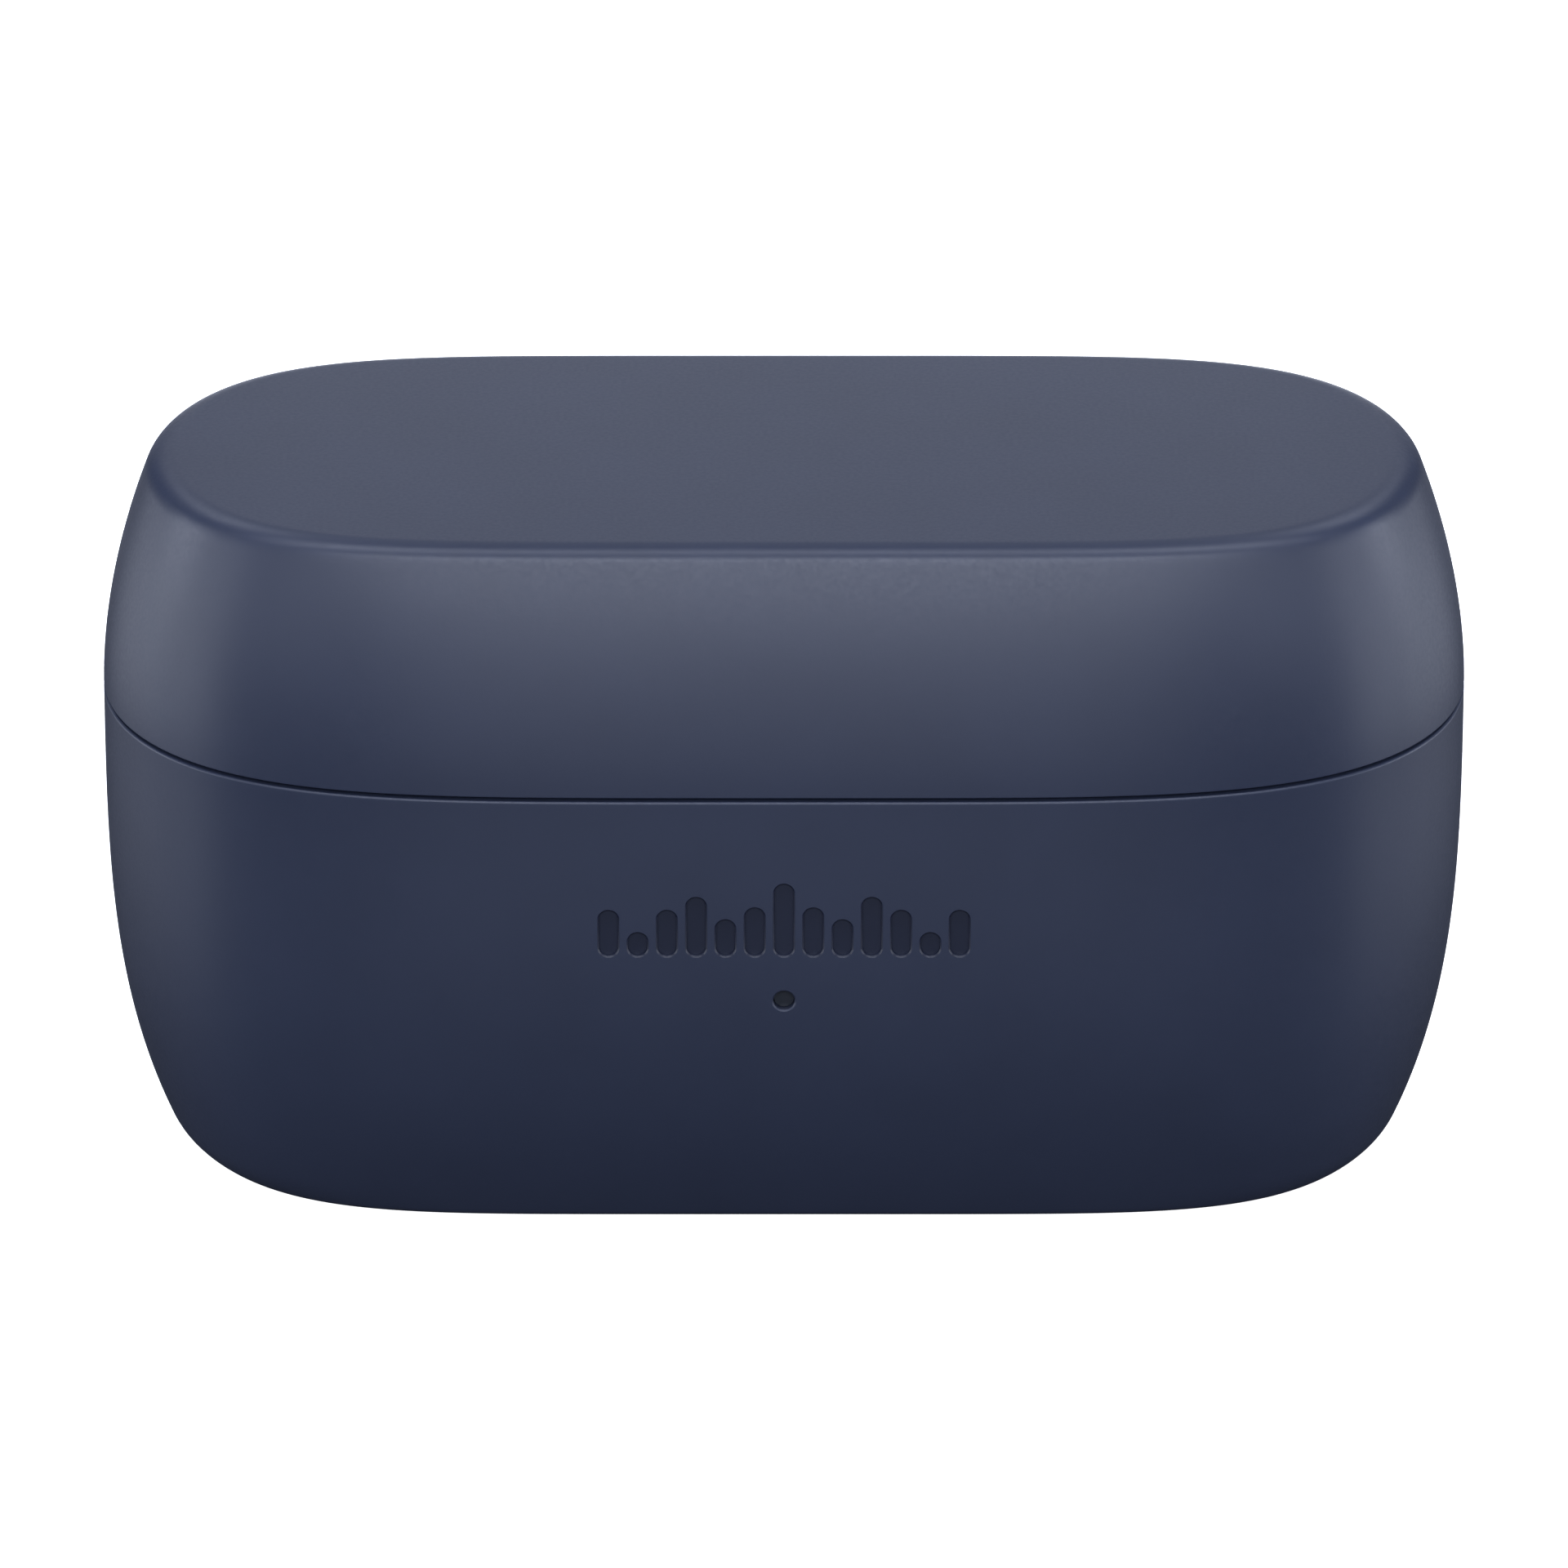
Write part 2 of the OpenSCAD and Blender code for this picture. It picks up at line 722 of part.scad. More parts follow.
module lid_sensor_magnet() {
    color(STEEL) translate([0, sensor_y, liner_over_z]) cylinder(d = sensor_magnet_d, h = sensor_magnet_h);
}

base_shell();
cradle_tray();
battery_pad();
battery_cell();
battery_board();
battery_lead_positive();
battery_lead_negative();
battery_plug();
battery_socket();
main_board();
board_screws();
usb_shell();
usb_insulator();
charger_chip();
controller_chip();
power_inductor();
board_capacitors();
status_led();
light_pipe();
hall_flex();
hall_sensor();
contact_block("left");  // contact_block_left
contact_block("right");  // contact_block_right
contact_barrel("left", -1);  // contact_barrel_left_inner
contact_barrel("left", 1);  // contact_barrel_left_outer
contact_barrel("right", -1);  // contact_barrel_right_inner
contact_barrel("right", 1);  // contact_barrel_right_outer
contact_plunger("left", -1);  // contact_plunger_left_inner
contact_plunger("left", 1);  // contact_plunger_left_outer
contact_plunger("right", -1);  // contact_plunger_right_inner
contact_plunger("right", 1);  // contact_plunger_right_outer
contact_spring("left", -1);  // contact_spring_left_inner
contact_spring("left", 1);  // contact_spring_left_outer
contact_spring("right", -1);  // contact_spring_right_inner
contact_spring("right", 1);  // contact_spring_right_outer
bud_magnet_at("left");  // bud_magnet_left
bud_magnet_at("right");  // bud_magnet_right
base_closure_magnet();
base_hinge_bracket();
base_hinge_screws();
hinge_pin();
lid_shell();
lid_liner();
lid_hinge_bracket();
lid_hinge_screws();
lid_closure_magnet();
lid_sensor_magnet();
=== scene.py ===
"""Looks of a wireless earbuds charging case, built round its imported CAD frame.

Lengths are in millimetres, in the CAD's own frame: X across, -Y to the front, +Z up. Meshes and
objects are made in metres, by MM. A half is the lid or the base, and u is the height away from the seam.
"""
import json
import math
from collections import namedtuple

import bmesh
import bpy
import numpy as np
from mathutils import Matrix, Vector


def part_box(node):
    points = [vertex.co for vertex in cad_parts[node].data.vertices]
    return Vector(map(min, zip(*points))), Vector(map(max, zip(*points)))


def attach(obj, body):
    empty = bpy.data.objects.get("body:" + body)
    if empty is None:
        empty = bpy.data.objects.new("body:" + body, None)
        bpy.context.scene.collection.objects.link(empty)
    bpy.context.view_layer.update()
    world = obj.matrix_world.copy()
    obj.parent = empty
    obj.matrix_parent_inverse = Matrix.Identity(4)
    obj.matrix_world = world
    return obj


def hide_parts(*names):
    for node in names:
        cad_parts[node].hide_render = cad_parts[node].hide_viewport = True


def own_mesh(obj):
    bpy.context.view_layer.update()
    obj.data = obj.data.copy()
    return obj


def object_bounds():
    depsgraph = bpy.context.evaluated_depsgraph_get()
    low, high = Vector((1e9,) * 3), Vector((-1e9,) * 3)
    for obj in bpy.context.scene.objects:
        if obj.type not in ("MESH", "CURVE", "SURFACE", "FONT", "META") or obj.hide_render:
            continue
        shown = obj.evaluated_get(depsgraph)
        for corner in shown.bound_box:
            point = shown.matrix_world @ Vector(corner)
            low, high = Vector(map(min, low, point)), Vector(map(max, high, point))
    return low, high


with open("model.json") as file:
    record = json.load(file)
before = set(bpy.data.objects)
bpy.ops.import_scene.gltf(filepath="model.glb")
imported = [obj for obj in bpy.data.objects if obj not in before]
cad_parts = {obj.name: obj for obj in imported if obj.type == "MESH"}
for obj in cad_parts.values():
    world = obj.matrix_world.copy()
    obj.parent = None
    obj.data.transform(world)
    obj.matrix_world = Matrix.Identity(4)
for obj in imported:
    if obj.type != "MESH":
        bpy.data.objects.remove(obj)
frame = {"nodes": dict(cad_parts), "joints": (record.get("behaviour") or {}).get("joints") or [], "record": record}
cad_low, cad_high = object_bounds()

MM = 0.001


def mm_box(node):
    """Low and high corners of a CAD node, in mm."""
    low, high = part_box(node)
    return np.array(low) / MM, np.array(high) / MM


# ---- sizes, from the frame ----

HINGE = next(j for j in frame["joints"] if j["name"] == "lid_hinge")
HINGE_Y, HINGE_Z = HINGE["pos_m"][1] / MM, HINGE["pos_m"][2] / MM
LID_OPEN = HINGE["range_deg"][1]
BASE_LOW, BASE_HIGH = mm_box("base_shell")
LID_LOW, LID_HIGH = mm_box("lid_shell")
WIDTH, DEPTH, HEIGHT = 64.15, 28.85, LID_HIGH[2]
SEAM_Z = (BASE_HIGH[2] + LID_LOW[2]) / 2
SEAM_GAP = LID_LOW[2] - BASE_HIGH[2]
WALL = 1.4
FLOOR = 1.6

# A wall leans in by lean * (u / height) ** power, and edge is the height of the rounded edge that ends it.
Curve = namedtuple("Curve", "lean power edge")
# ends and faces are the walls' curves at the short ends and at front and rear, plan_end is the plan's
# power at the half's flat end, way is 1 above the seam and -1 below, thick is the roof or floor, and
# lip is the radius of its edge at the seam.
Half = namedtuple("Half", "height ends faces plan_end way thick lip")
UPPER = Half(HEIGHT - SEAM_Z, Curve(2.51, 1.87, 1.05), Curve(2.69, 2.01, 0.6), 5.88, 1, WALL, 0.04)
LOWER = Half(SEAM_Z, Curve(3.43, 3.39, 1.7), Curve(3.23, 3.42, 0.4), 6.25, -1, FLOOR, 0.11)
PLAN_SEAM = 4.73  # the plan's power along X at the seam
PLAN_Q = 2.0  # and along Y, at all heights

# The earbud pockets
CONTACT_IN = mm_box("contact_barrel_right_inner")
CONTACT_OUT = mm_box("contact_barrel_right_outer")
POCKET_X = (CONTACT_IN[0][0] + CONTACT_OUT[1][0]) / 2
POCKET_Y = (CONTACT_IN[0][1] + CONTACT_IN[1][1]) / 2
POCKET_Z = CONTACT_IN[1][2]
BARREL_D = CONTACT_IN[1][0] - CONTACT_IN[0][0]
CONTACTS = ("left_outer", "left_inner", "right_inner", "right_outer")
SIDES = (-1, 1)
WIRE_D = 0.14
SPRING_TURNS = 5
SKIN = 0.9  # thickness of the pocket walls
TRAY = mm_box("cradle_tray")
LINER = mm_box("lid_liner")
RECESS_Z = LINER[1][2] - SKIN
PLATE = 1.1  # thickness of the trim plates
Well = namedtuple("Well", "x y mouth base")
BUD_WELL = Well(POCKET_X, POCKET_Y, (11.6, 9.8), (6.5, 5.5))
TIP_WELL = Well(8.6, 2.2, (4.6, 5.2), (2.2, 2.8))
TIP_Z = 15.5
TIP_RECESS_Z = 28.0
WELL_P = 2.6  # power of the wells' plan
WELL_BLEND = 0.5  # softness of the corner where two wells meet
FAR_MISS = 5  # how far inside a ray counts that misses the tip's well
MOUTH_LIP = 0.45

# The hinge
KNUCKLE_D = 1.9
SWEEP_GAP = 0.2
ARM_ROOM = 2.5  # how far in front of the hinge line the shells are cut for its arms
ARM_GAP = 0.05
TRIM_ROOM = 1.4  # the same for the trim plates
CUT_STEP = 0.02  # keeps two cutters' ends out of one plane
KNUCKLES_HALF_W = mm_box("base_hinge_bracket")[1][0] + 0.1
LID_ARM_HALF_W = mm_box("lid_hinge_bracket")[1][0] + 0.1

# The port, the light hole and the pressed mark
USB_LOW, USB_HIGH = mm_box("usb_shell")
USB_Z = (USB_LOW[2] + USB_HIGH[2]) / 2
USB_WALL = 0.3
USB_EDGE = 0.12
TONGUE_HALF_T = 0.35
LED_Z = 12.66
LED_R = 0.5
FRONT_CHAMFER = 0.07
MARK_Z = 15.0
MARK_BARS = 13
MARK_PITCH = 1.36
MARK_BAR_W = 0.9
MARK_DEPTH = 0.24


# ---- mesh helpers ----


def new_object(name, verts, faces):
    """Object from points in mm, with its faces turned outwards."""
    mesh = bpy.data.meshes.new(name)
    mesh.from_pydata((np.asarray(verts, float) * MM).tolist(), [], faces)
    bm = bmesh.new()
    bm.from_mesh(mesh)
    bmesh.ops.recalc_face_normals(bm, faces=bm.faces)
    bm.to_mesh(mesh)
    bm.free()
    obj = bpy.data.objects.new(name, mesh)
    bpy.context.scene.collection.objects.link(obj)
    return obj


def loft(rings, tube=False):
    """Points and faces of a solid through rings of equally many points, with a fan at each end.

    In a tube the last ring joins the first instead, so its wall has an outside and an inside.
    """
    rings = np.asarray(rings, float)
    count, around = rings.shape[:2]
    verts = rings.reshape(-1, 3)
    faces = []
    for k in range(count if tube else count - 1):
        low, high = k * around, (k + 1) % count * around
        for i in range(around):
            j = (i + 1) % around
            faces.append((low + i, low + j, high + j, high + i))
    for end in () if tube else (0, count - 1):
        centre = len(verts)
        verts = np.vstack([verts, rings[end].mean(axis=0)])
        start = end * around
        faces += [(start + i, start + (i + 1) % around, centre) for i in range(around)]
    return verts, faces


def joined(solids):
    """Points and faces of several solids as one list each."""
    verts, faces = [], []
    for solid_verts, solid_faces in solids:
        faces += [tuple(n + len(verts) for n in face) for face in solid_faces]
        verts += solid_verts.tolist()
    return verts, faces


def xz_ring(points, y, x=0.0, z=0.0):
    """Ring in a plane across Y, from points round x, z."""
    return np.stack([x + points[:, 0], np.full(len(points), y), z + points[:, 1]], axis=1)


def shade(obj, angle=32):
    """Smooth shading with edges sharper than the angle kept crisp."""
    mesh = obj.data
    mesh.polygons.foreach_set("use_smooth", [True] * len(mesh.polygons))
    mesh.set_sharp_from_angle(angle=math.radians(angle))
    mesh.update()


def boolean(obj, others, operation, transfer=False):
    """Joins or cuts obj with the other objects, which are used up."""
    for other in others:
        modifier = obj.modifiers.new("cut", "BOOLEAN")
        modifier.operation = operation
        modifier.solver = "EXACT"
        modifier.object = other
        if transfer:
            modifier.material_mode = "TRANSFER"
        bpy.context.view_layer.update()
        graph = bpy.context.evaluated_depsgraph_get()
        result = bpy.data.meshes.new_from_object(obj.evaluated_get(graph), depsgraph=graph)
        obj.modifiers.clear()
        obj.data = result
        bpy.data.objects.remove(other)
    return obj


def finish_piece(obj, body, node, slot, angle=32):
    """Gives a piece its shading and material, and puts it on its body in place of its CAD node."""
    if not obj.data.materials:
        obj.data.materials.append(MATERIALS[slot])
    shade(obj, angle)
    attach(obj, body)
    if node:
        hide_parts(node)


def box_cutter(low, high):
    corners = [(x, y, z) for x in (low[0], high[0]) for y in (low[1], high[1]) for z in (low[2], high[2])]
    faces = [(0, 1, 3, 2), (4, 6, 7, 5), (0, 4, 5, 1), (2, 3, 7, 6), (0, 2, 6, 4), (1, 5, 7, 3)]
    return new_object("cutter", corners, faces)


def x_cylinder(y, z, radius, half_w, sides=96):
    turn = np.linspace(0, 2 * math.pi, sides, endpoint=False)
    ring = np.stack([np.zeros(sides), y + radius * np.cos(turn), z + radius * np.sin(turn)], axis=1)
    return new_object("cutter", *loft([ring - [half_w, 0, 0], ring + [half_w, 0, 0]]))


def z_cylinder(x, y, radius, z_low, z_high, sides=64):
    turn = np.linspace(0, 2 * math.pi, sides, endpoint=False)
    ring = np.stack([x + radius * np.cos(turn), y + radius * np.sin(turn), np.zeros(sides)], axis=1)
    return new_object("cutter", *loft([ring + [0, 0, z_low], ring + [0, 0, z_high]]))


def oblong(half_w, half_h, sides=96):
    """Points of an upright oblong with round ends or sides, in its own plane."""
    turn = np.linspace(0, 2 * math.pi, sides, endpoint=False)
    r = min(half_w, half_h)
    way = np.stack([np.cos(turn), np.sin(turn)], axis=1)
    return r * way + np.sign(np.round(way, 6)) * [half_w - r, half_h - r]


# ---- outer form of the case ----


def oval_radius(a, b, p, q, turn):
    """Distance from the centre to |x/a|^p + |y/b|^q = 1 in the directions turn, by Newton's method."""
    c = np.maximum(np.abs(np.cos(turn)), 1e-9)
    s = np.maximum(np.abs(np.sin(turn)), 1e-9)
    r = np.minimum(a / c, b / s)
    for _ in range(14):
        f = (r * c / a) ** p + (r * s / b) ** q - 1
        slope = p * (r * c / a) ** p / r + q * (r * s / b) ** q / r
        r = r - f / slope
    return r


def even_turns(count):
    """Directions that space points evenly round the seam."""
    fine = np.linspace(0, 2 * math.pi, 8001)
    r = oval_radius(WIDTH / 2, DEPTH / 2, PLAN_SEAM, PLAN_Q, fine)
    points = np.stack([r * np.cos(fine), r * np.sin(fine)], axis=1)
    run = np.concatenate([[0], np.cumsum(np.linalg.norm(np.diff(points, axis=0), axis=1))])
    return np.interp(np.linspace(0, run[-1], count, endpoint=False), run, fine)


def wall_lean(height, curve, u):
    return curve.lean * (np.maximum(u, 0) / height) ** curve.power


def rounded_lean(height, curve, u):
    """How far a side curve leans in at height u, with the rounded edge that ends it."""
    u = np.asarray(u, float)
    start = height - curve.edge
    angle = math.atan(curve.lean * curve.power / height * (start / height) ** (curve.power - 1))
    r = curve.edge / (1 - math.sin(angle))
    reach = np.sqrt(np.maximum(0, r ** 2 - (u - start + r * math.sin(angle)) ** 2))
    edge = wall_lean(height, curve, start) + r * math.cos(angle) - reach
    return np.where(u <= start, wall_lean(height, curve, u), edge)


def plan_power(half, u):
    return PLAN_SEAM + (half.plan_end - PLAN_SEAM) * (u / half.height) ** 2


def shell_ring(half, u, inset, turns, lean=rounded_lean):
    """Ring of points at height u from the seam, moved inwards by inset."""
    a = WIDTH / 2 - lean(half.height, half.ends, u) - inset
    b = DEPTH / 2 - lean(half.height, half.faces, u) - inset
    r = oval_radius(a, b, plan_power(half, max(u, 0)), PLAN_Q, turns)
    z = np.full(len(turns), SEAM_Z + half.way * u)
    return np.stack([r * np.cos(turns), r * np.sin(turns), z], axis=1)


def pot_rings(half, wall_steps, turns):
    """Rings from the middle of the end face, round its edge, down the wall, over the lip and up inside."""
    rim, lip, inner_lip, crisp = SEAM_GAP / 2, half.lip, 0.2, 0.02
    edge = max(half.ends.edge, half.faces.edge)
    rings = [shell_ring(half, half.height, d, turns) for d in (4.0, 1.2, 0.15)]
    levels = [half.height - edge * (k / 18) ** 2 for k in range(18)]
    start = rim + lip
    levels += [start + (half.height - edge - start) * f for f in np.linspace(1, 0, wall_steps + 1)[:-1]]
    levels += [start + crisp, start]
    rings += [shell_ring(half, u, 0, turns) for u in levels]
    for g in np.linspace(0, math.pi / 2, 6)[1:]:
        rings.append(shell_ring(half, start - lip * math.sin(g), lip - lip * math.cos(g), turns))
    for g in np.linspace(math.pi / 2, 0, 5):
        u, inset = rim + inner_lip - inner_lip * math.sin(g), WALL - inner_lip + inner_lip * math.cos(g)
        rings.append(shell_ring(half, u, inset, turns))
    inside = half.height - half.thick
    for u in np.linspace(rim + inner_lip, inside - 1.0, 13)[1:]:
        rings.append(shell_ring(half, u, WALL, turns, wall_lean))
    for g in np.linspace(0, math.pi / 2, 6)[1:]:
        ring = shell_ring(half, inside - 1, WALL + 1 - math.cos(g), turns, wall_lean)
        ring[:, 2] += half.way * math.sin(g)
        rings.append(ring)
    return rings


def shell_solid(name, half, wall_steps):
    turns = even_turns(360)
    return new_object(name, *loft(pot_rings(half, wall_steps, turns)))


def front_y(x, z):
    """Y of the base's front face."""
    u = SEAM_Z - z
    a = WIDTH / 2 - rounded_lean(LOWER.height, LOWER.ends, u)
    b = DEPTH / 2 - rounded_lean(LOWER.height, LOWER.faces, u)
    return -b * (1 - np.abs(x / a) ** plan_power(LOWER, u)) ** (1 / PLAN_Q)


# ---- cuts in the outer shells ----


def relief_cutter(way):
    """Wedge that frees the rear walls round the hinge line; way is 1 above the seam and -1 below."""
    reach = 4.0
    rise = reach * math.tan(math.radians(LID_OPEN / 2 + 2))
    wedge = [(0, 0), (reach, -way * 0.5), (reach, way * rise)]
    ring = np.array([(0, HINGE_Y + y, HINGE_Z + z) for y, z in wedge])
    return new_object("cutter", *loft([ring - [WIDTH, 0, 0], ring + [WIDTH, 0, 0]]))


def knuckle_room():
    return x_cylinder(HINGE_Y, HINGE_Z, KNUCKLE_D / 2 + SWEEP_GAP, KNUCKLES_HALF_W)


def front_cutter(outline, x, z, rings):
    """Points and faces of a cutter through the front face.

    outline(growth) gives its points, and rings are pairs of offset outwards from the face and growth.
    """
    stack = []
    for offset, grown in rings:
        points = outline(grown)
        px, pz = x + points[:, 0], z + points[:, 1]
        stack.append(np.stack([px, front_y(px, pz) - offset, pz], axis=1))
    return loft(stack)


def bar_height(i):
    """Height of level bar i, counted from the middle of the mark."""
    return 2.0 + 0.85 * math.cos(1.9 * i) + 0.85 * math.exp(-(i / 3) ** 2)


def mark_cutter():
    """The row of round-ended level bars pressed into the front, standing on one line at MARK_Z."""
    above, draft = 0.1, 0.02
    rings = [(above, FRONT_CHAMFER + above), (-FRONT_CHAMFER, 0), (-MARK_DEPTH, -draft)]
    bars = []
    for k in range(MARK_BARS):
        i = k - (MARK_BARS - 1) / 2
        half_h = bar_height(i) / 2
        outline = lambda grown, h=half_h: oblong(MARK_BAR_W / 2 + grown, h + grown, 40)
        bars.append(front_cutter(outline, i * MARK_PITCH, MARK_Z + half_h, rings))
    cutter = new_object("cutter", *joined(bars))
    cutter.data.materials.append(MATERIALS["mark_recess"])
    return cutter


def light_hole_cutter():
    above, depth = 0.3, 3.0
    rings = [(above, FRONT_CHAMFER + above), (-FRONT_CHAMFER, 0), (-depth, 0)]
    outline = lambda grown: oblong(LED_R + grown, LED_R + grown, 48)
    return new_object("cutter", *front_cutter(outline, 0, LED_Z, rings))


def port_cutter():
    """Hole for the charging port, with a small chamfer at its mouth."""
    clear, chamfer, above, inner_y = 0.15, 0.18, 0.6, 5
    half_w, half_h = USB_HIGH[0] + clear, USB_HIGH[2] - USB_Z + clear
    rear = DEPTH / 2 - wall_lean(LOWER.height, LOWER.faces, SEAM_Z - USB_Z)
    profile = ((rear + above, chamfer + above), (rear - chamfer, 0), (inner_y, 0))
    rings = [xz_ring(oblong(half_w + grown, half_h + grown), y, z=USB_Z) for y, grown in profile]
    return new_object("cutter", *loft(rings))


def make_base_shell():
    obj = shell_solid("base_shell_body", LOWER, 46)
    obj.data.materials.append(MATERIALS["navy_shell"])
    bottom = mm_box("base_hinge_bracket")[0][2] - 0.1
    half_w = KNUCKLES_HALF_W + CUT_STEP
    arm_low = (-half_w, HINGE_Y - ARM_ROOM, bottom)
    boolean(obj, [
        relief_cutter(-1), knuckle_room(), port_cutter(), light_hole_cutter(),
        box_cutter(arm_low, (half_w, HINGE_Y + ARM_GAP, SEAM_Z)),
    ], "DIFFERENCE")
    boolean(obj, [mark_cutter()], "DIFFERENCE", transfer=True)
    finish_piece(obj, "base", "base_shell", "navy_shell")


def make_lid_shell():
    obj = shell_solid("lid_shell_body", UPPER, 26)
    obj.data.materials.append(MATERIALS["navy_shell"])
    top = LINER[0][2] + PLATE + 1.0
    arm_low = (-LID_ARM_HALF_W, HINGE_Y - ARM_ROOM, SEAM_Z)
    boolean(obj, [
        relief_cutter(1), knuckle_room(),
        box_cutter(arm_low, (LID_ARM_HALF_W, HINGE_Y + ARM_GAP, top)),
    ], "DIFFERENCE")
    finish_piece(obj, "lid", "lid_shell", "navy_shell")


# ---- earbud pockets ----


def well_size(well, floor_z, mouth_z, grow, z):
    """Half width and depth of a well at height z."""
    way = math.copysign(1, mouth_z - floor_z)
    start = floor_z - way * grow
    share = min(max((z - start) / (mouth_z - start), 0), 1)
    bulge = math.sqrt(1 - (1 - share) ** 2)
    return [well.base[k] + grow + (well.mouth[k] - well.base[k]) * bulge for k in (0, 1)]


def far_radius(turns, cx, cy, a, b, p):
    """Distance from the origin to the far side of an oval centred at cx, cy; 0 where a ray misses it."""
    r = np.linspace(0, 20, 2001)
    x = r[None, :] * np.cos(turns)[:, None]
    y = r[None, :] * np.sin(turns)[:, None]
    inside = np.abs((x - cx) / a) ** p + np.abs((y - cy) / b) ** p < 1
    last = inside.shape[1] - 1 - np.argmax(inside[:, ::-1], axis=1)
    return np.where(inside.any(axis=1), r[last], 0)


def pocket_levels(floor_start, tip_start, mouth_z, way, lip):
    """Heights of a pocket's rings, from its floor to its mouth, closer together where it curves most."""
    levels = []
    for start, first, count in ((floor_start, 0, 15), (tip_start, 0.15, 8)):
        for t in np.linspace(first, math.pi / 2, count):
            levels.append(start + (mouth_z - start) * (1 - math.cos(t)))
    if lip:
        levels += [mouth_z - way * lip * (1 - math.sin(t)) for t in np.linspace(0, math.pi / 2, 6)]
    levels = sorted(set(np.round(levels, 4)), key=lambda z: way * z)
    return [z for z in levels if way * (z - mouth_z) <= 1e-3]


def pocket_solid(side, floor_z, tip_z, mouth_z, grow, lip):
    """Closed solid of one earbud pocket, blending its two wells. lip is the radius of its rounded mouth."""
    way = math.copysign(1, mouth_z - floor_z)
    turns = np.linspace(0, 2 * math.pi, 144, endpoint=False)
    cx, cy = side * (TIP_WELL.x - BUD_WELL.x), TIP_WELL.y - BUD_WELL.y
    tip_start = tip_z - way * grow
    levels = pocket_levels(floor_z - way * grow, tip_start, mouth_z, way, lip)
    before = [z for z in levels if way * (z - tip_start) < -0.05]
    after = [z for z in levels if way * (z - tip_start) > 0.05]
    plan = [(z, False) for z in before + [tip_start]] + [(z, True) for z in [tip_start] + after]
    sizes = []
    for z, with_tip in plan:
        a, b = well_size(BUD_WELL, floor_z, mouth_z, grow, z)
        r = oval_radius(a, b, WELL_P, WELL_P, turns)
        if with_tip:
            ta, tb = well_size(TIP_WELL, tip_z, mouth_z, grow, z)
            far = far_radius(turns, cx, cy, ta, tb, WELL_P)
            far = np.where(far > 0, far, r - FAR_MISS)
            r = (r + far + np.sqrt((r - far) ** 2 + WELL_BLEND ** 2)) / 2
        left = abs(mouth_z - z)
        if lip and left < lip:
            r = r + lip - math.sqrt(lip ** 2 - (lip - left) ** 2)
        sizes.append((z, r))
    over = mouth_z + way * (1.0 if not grow else -0.3)
    sizes = [(z, r) for z, r in sizes if way * (over - z) > 0] + [(over, sizes[-1][1])]
    rings = []
    for z, r in sizes:
        x = side * BUD_WELL.x + r * np.cos(turns)
        rings.append(np.stack([x, BUD_WELL.y + r * np.sin(turns), np.full(len(turns), z)], axis=1))
    return new_object("cutter", *loft(rings))


def trim_plate(name, half, low, high):
    """Flat plate that fills a shell's mouth, with its edges slightly rounded."""
    turns = even_turns(300)
    inset, round_r = WALL + 0.15, 0.2
    profile = [(low, 1.0), (low, round_r), (low + round_r, 0)]
    profile += [(high - round_r, 0), (high, round_r), (high, 1.0)]
    rings = []
    for z, d in profile:
        ring = shell_ring(half, 0, inset + d, turns)
        ring[:, 2] = z
        rings.append(ring)
    return new_object(name, *loft(rings))


def hinge_cutout():
    """Box that frees the trim plates round the knuckles."""
    return box_cutter((-KNUCKLES_HALF_W, HINGE_Y - TRIM_ROOM, -1), (KNUCKLES_HALF_W, DEPTH, HEIGHT + 1))


def make_cradle_tray():
    rim_z = TRAY[1][2]
    obj = trim_plate("cradle_tray_body", LOWER, rim_z - PLATE, rim_z)
    obj.data.materials.append(MATERIALS["inner_trim"])
    boolean(obj, [pocket_solid(s, POCKET_Z, TIP_Z, rim_z, SKIN, 0) for s in SIDES], "UNION")
    cuts = [pocket_solid(s, POCKET_Z, TIP_Z, rim_z, 0, MOUTH_LIP) for s in SIDES]
    hole_r = BARREL_D / 2 + 0.05
    for place in CONTACTS:
        low, high = mm_box(f"contact_barrel_{place}")
        cuts.append(z_cylinder((low[0] + high[0]) / 2, POCKET_Y, hole_r, POCKET_Z - 2, POCKET_Z + 1))
    boolean(obj, cuts + [hinge_cutout()], "DIFFERENCE")
    finish_piece(obj, "base", "cradle_tray", "inner_trim")


def make_lid_liner():
    rim_z = LINER[0][2]
    obj = trim_plate("lid_liner_body", UPPER, rim_z, rim_z + PLATE)
    obj.data.materials.append(MATERIALS["inner_trim"])
    boolean(obj, [pocket_solid(s, RECESS_Z, TIP_RECESS_Z, rim_z, SKIN, 0) for s in SIDES], "UNION")
    cuts = [pocket_solid(s, RECESS_Z, TIP_RECESS_Z, rim_z, 0, MOUTH_LIP) for s in SIDES]
    boolean(obj, cuts + [hinge_cutout()], "DIFFERENCE")
    finish_piece(obj, "lid", "lid_liner", "inner_trim")


# ---- charging port and contact springs ----


